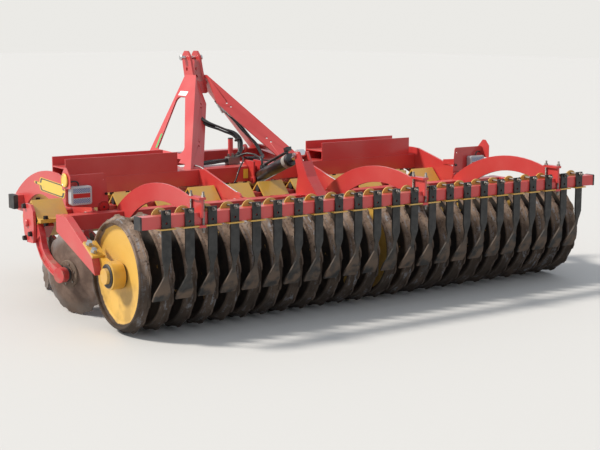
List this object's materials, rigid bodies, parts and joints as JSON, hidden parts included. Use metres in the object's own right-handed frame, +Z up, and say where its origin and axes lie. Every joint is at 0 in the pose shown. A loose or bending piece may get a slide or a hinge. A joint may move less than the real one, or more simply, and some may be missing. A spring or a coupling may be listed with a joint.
{
  "type": "disc harrow",
  "caption": "Mounted compact disc harrow, 3 m wide, with two rows of sprung discs, a three-point headstock and a lugged ring packer with scrapers and depth cylinder.",
  "frame": {"origin": "centre of the footprint on the ground, midway between the front and rear ends and on the middle plane", "axes": "+X to the right, +Y in the direction of travel, +Z up"},
  "size_m": [3.122, 2.274, 1.353],
  "materials": {
    "frame_red": "gloss",
    "clamp_yellow": "gloss",
    "bare_steel": "satin",
    "black_paint": "gloss",
    "black_plastic": "matte",
    "rubber": "matte",
    "worn_steel": "worn",
    "scraper_steel": "matte",
    "lens_clear": "gloss",
    "lens_red": "gloss",
    "rod_chrome": "polished"
  },
  "bodies": {
    "frame": {"main_beam": "frame_red", "ballast_trays": "frame_red", "headstock_frames": "frame_red", "top_link_ears": "frame_red", "linkage_pins": "bare_steel", "front_cross_beam": "frame_red", "lower_link_plates": "frame_red", "side_plates": "frame_red", "hinge_plates": "frame_red", "disc_tubes": "frame_red", "tube_caps": "black_plastic", "disc_clamps": "clamp_yellow", "rubber_cords": "rubber", "disc_arms": "frame_red", "outer_brackets": "frame_red", "light_boards": "frame_red", "lamps": "lens_clear", "reflectors": "lens_red", "cylinder_bracket": "frame_red"},
    "packer_frame": {"torque_tube": "frame_red", "hinge_lugs": "frame_red", "side_arms": "frame_red", "arch_arms": "frame_red", "arch_clamps": "frame_red", "packer_lever": "frame_red", "packer_pins": "bare_steel", "scraper_beam": "frame_red", "beam_caps": "black_plastic", "scrapers": "scraper_steel", "scraper_clips": "clamp_yellow", "scraper_bolts": "bare_steel", "bearing_housings": "clamp_yellow"},
    "roller": {"packer_shaft": "clamp_yellow", "packer_rings": "worn_steel"},
    "barrel": {"cylinder_barrel": "black_paint"},
    "rod": {"cylinder_rod": "rod_chrome"},
    "disc_rear_01": {"disc_rear_01": "worn_steel"},
    "disc_rear_02": {"disc_rear_02": "worn_steel"},
    "disc_rear_03": {"disc_rear_03": "worn_steel"},
    "disc_rear_04": {"disc_rear_04": "worn_steel"},
    "disc_rear_05": {"disc_rear_05": "worn_steel"},
    "disc_rear_06": {"disc_rear_06": "worn_steel"},
    "disc_rear_07": {"disc_rear_07": "worn_steel"},
    "disc_rear_08": {"disc_rear_08": "worn_steel"},
    "disc_rear_09": {"disc_rear_09": "worn_steel"},
    "disc_rear_10": {"disc_rear_10": "worn_steel"},
    "disc_rear_11": {"disc_rear_11": "worn_steel"},
    "disc_rear_12": {"disc_rear_12": "worn_steel"},
    "disc_front_01": {"disc_front_01": "worn_steel"},
    "disc_front_02": {"disc_front_02": "worn_steel"},
    "disc_front_03": {"disc_front_03": "worn_steel"},
    "disc_front_04": {"disc_front_04": "worn_steel"},
    "disc_front_05": {"disc_front_05": "worn_steel"},
    "disc_front_06": {"disc_front_06": "worn_steel"},
    "disc_front_07": {"disc_front_07": "worn_steel"},
    "disc_front_08": {"disc_front_08": "worn_steel"},
    "disc_front_09": {"disc_front_09": "worn_steel"},
    "disc_front_10": {"disc_front_10": "worn_steel"},
    "disc_front_11": {"disc_front_11": "worn_steel"},
    "disc_front_12": {"disc_front_12": "worn_steel"}
  },
  "joints": [
    {"name": "packer_swing", "type": "hinge", "parent": "frame", "child": "packer_frame", "pos_m": [0, -0.117, 0.505], "axis": [-1, 0, 0], "range_deg": [-2.5, 12]},
    {"name": "roller_spin", "type": "hinge", "parent": "packer_frame", "child": "roller", "pos_m": [0, -0.727, 0.3], "axis": [1, 0, 0], "continuous": true},
    {"name": "cylinder_swing", "type": "hinge", "parent": "frame", "child": "barrel", "pos_m": [0.005, 0.283, 0.58], "axis": [-1, 0, 0], "range_deg": [-1, 4.2]},
    {"name": "rod_slide", "type": "slide", "parent": "barrel", "child": "rod", "axis": [0, -0.9298, 0.368], "range_m": [-0.05, 0.012]},
    {"name": "disc_rear_01_spin", "type": "hinge", "parent": "frame", "child": "disc_rear_01", "pos_m": [-1.4375, -0.197, 0.225], "axis": [0.9563, 0.2924, 0], "continuous": true},
    {"name": "disc_rear_02_spin", "type": "hinge", "parent": "frame", "child": "disc_rear_02", "pos_m": [-1.1875, -0.197, 0.225], "axis": [0.9563, 0.2924, 0], "continuous": true},
    {"name": "disc_rear_03_spin", "type": "hinge", "parent": "frame", "child": "disc_rear_03", "pos_m": [-0.9375, -0.197, 0.225], "axis": [0.9563, 0.2924, 0], "continuous": true},
    {"name": "disc_rear_04_spin", "type": "hinge", "parent": "frame", "child": "disc_rear_04", "pos_m": [-0.6875, -0.197, 0.225], "axis": [0.9563, 0.2924, 0], "continuous": true},
    {"name": "disc_rear_05_spin", "type": "hinge", "parent": "frame", "child": "disc_rear_05", "pos_m": [-0.4375, -0.197, 0.225], "axis": [0.9563, 0.2924, 0], "continuous": true},
    {"name": "disc_rear_06_spin", "type": "hinge", "parent": "frame", "child": "disc_rear_06", "pos_m": [-0.1875, -0.197, 0.225], "axis": [0.9563, 0.2924, 0], "continuous": true},
    {"name": "disc_rear_07_spin", "type": "hinge", "parent": "frame", "child": "disc_rear_07", "pos_m": [0.0625, -0.197, 0.225], "axis": [0.9563, 0.2924, 0], "continuous": true},
    {"name": "disc_rear_08_spin", "type": "hinge", "parent": "frame", "child": "disc_rear_08", "pos_m": [0.3125, -0.197, 0.225], "axis": [0.9563, 0.2924, 0], "continuous": true},
    {"name": "disc_rear_09_spin", "type": "hinge", "parent": "frame", "child": "disc_rear_09", "pos_m": [0.5625, -0.197, 0.225], "axis": [0.9563, 0.2924, 0], "continuous": true},
    {"name": "disc_rear_10_spin", "type": "hinge", "parent": "frame", "child": "disc_rear_10", "pos_m": [0.8125, -0.197, 0.225], "axis": [0.9563, 0.2924, 0], "continuous": true},
    {"name": "disc_rear_11_spin", "type": "hinge", "parent": "frame", "child": "disc_rear_11", "pos_m": [1.0625, -0.197, 0.225], "axis": [0.9563, 0.2924, 0], "continuous": true},
    {"name": "disc_rear_12_spin", "type": "hinge", "parent": "frame", "child": "disc_rear_12", "pos_m": [1.3125, -0.197, 0.225], "axis": [0.9563, 0.2924, 0], "continuous": true},
    {"name": "disc_front_01_spin", "type": "hinge", "parent": "frame", "child": "disc_front_01", "pos_m": [-1.3125, 0.508, 0.225], "axis": [-0.9563, 0.2924, 0], "continuous": true},
    {"name": "disc_front_02_spin", "type": "hinge", "parent": "frame", "child": "disc_front_02", "pos_m": [-1.0625, 0.508, 0.225], "axis": [-0.9563, 0.2924, 0], "continuous": true},
    {"name": "disc_front_03_spin", "type": "hinge", "parent": "frame", "child": "disc_front_03", "pos_m": [-0.8125, 0.508, 0.225], "axis": [-0.9563, 0.2924, 0], "continuous": true},
    {"name": "disc_front_04_spin", "type": "hinge", "parent": "frame", "child": "disc_front_04", "pos_m": [-0.5625, 0.508, 0.225], "axis": [-0.9563, 0.2924, 0], "continuous": true},
    {"name": "disc_front_05_spin", "type": "hinge", "parent": "frame", "child": "disc_front_05", "pos_m": [-0.3125, 0.508, 0.225], "axis": [-0.9563, 0.2924, 0], "continuous": true},
    {"name": "disc_front_06_spin", "type": "hinge", "parent": "frame", "child": "disc_front_06", "pos_m": [-0.0625, 0.508, 0.225], "axis": [-0.9563, 0.2924, 0], "continuous": true},
    {"name": "disc_front_07_spin", "type": "hinge", "parent": "frame", "child": "disc_front_07", "pos_m": [0.1875, 0.508, 0.225], "axis": [-0.9563, 0.2924, 0], "continuous": true},
    {"name": "disc_front_08_spin", "type": "hinge", "parent": "frame", "child": "disc_front_08", "pos_m": [0.4375, 0.508, 0.225], "axis": [-0.9563, 0.2924, 0], "continuous": true},
    {"name": "disc_front_09_spin", "type": "hinge", "parent": "frame", "child": "disc_front_09", "pos_m": [0.6875, 0.508, 0.225], "axis": [-0.9563, 0.2924, 0], "continuous": true},
    {"name": "disc_front_10_spin", "type": "hinge", "parent": "frame", "child": "disc_front_10", "pos_m": [0.9375, 0.508, 0.225], "axis": [-0.9563, 0.2924, 0], "continuous": true},
    {"name": "disc_front_11_spin", "type": "hinge", "parent": "frame", "child": "disc_front_11", "pos_m": [1.1875, 0.508, 0.225], "axis": [-0.9563, 0.2924, 0], "continuous": true},
    {"name": "disc_front_12_spin", "type": "hinge", "parent": "frame", "child": "disc_front_12", "pos_m": [1.4375, 0.508, 0.225], "axis": [-0.9563, 0.2924, 0], "continuous": true}
  ],
  "couplings": [
    {"joint": "cylinder_swing", "follows": "packer_swing", "ratio": 0.32023},
    {"joint": "rod_slide", "follows": "packer_swing", "m_per_rad": -0.22608}
  ]
}
